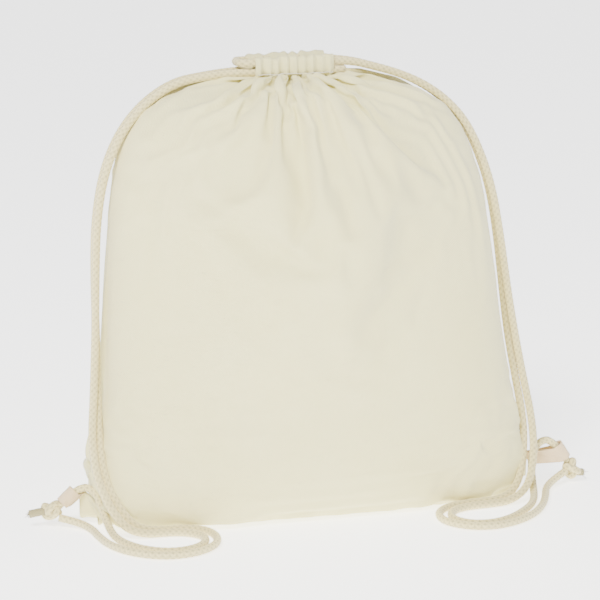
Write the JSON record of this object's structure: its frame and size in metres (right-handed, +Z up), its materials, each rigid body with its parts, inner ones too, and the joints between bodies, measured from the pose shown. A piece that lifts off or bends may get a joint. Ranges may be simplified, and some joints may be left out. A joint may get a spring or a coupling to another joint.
{
  "type": "drawstring backpack",
  "caption": "Plain cotton drawstring backpack, packed full and drawn shut, with a braided cord looped through each corner tab as a shoulder strap.",
  "frame": {"origin": "on the floor at the base mount, 3 mm in front of the middle of the packed bag's depth", "axes": "+Z up, +X to the right seen from the outward face, +Y towards the wearer's back"},
  "size_m": [0.4105, 0.1858, 0.3175],
  "materials": {
    "cotton": "unbleached plain-weave calico, matt",
    "cord": "round braided cotton, matt",
    "tape": "folded cotton tape, matt",
    "thread": "spun sewing thread, matt"
  },
  "bodies": {
    "bag": {"front_panel": "cotton", "back_panel": "cotton", "left_side_thread": "thread", "right_side_thread": "thread", "bottom_thread": "thread", "front_hem_thread": "thread", "back_hem_thread": "thread", "left_casing_cord": "cord", "right_casing_cord": "cord"},
    "left_strap": {"left_tab": "tape", "left_tab_strand": "cord", "left_knot_strand": "cord", "left_knot": "cord", "left_tails": "cord"},
    "right_strap": {"right_tab": "tape", "right_tab_strand": "cord", "right_knot_strand": "cord", "right_knot": "cord", "right_tails": "cord"}
  },
  "joints": [
    {"name": "left_strap_swing", "type": "hinge", "parent": "bag", "child": "left_strap", "pos_m": [-0.1665, -0.007, 0.02], "axis": [0.4038, 0.061, 0.9128], "range_deg": [-20, 0]},
    {"name": "right_strap_swing", "type": "hinge", "parent": "bag", "child": "right_strap", "pos_m": [0.1665, -0.007, 0.02], "axis": [-0.439, 0.0589, 0.8965], "range_deg": [0, 20]}
  ]
}
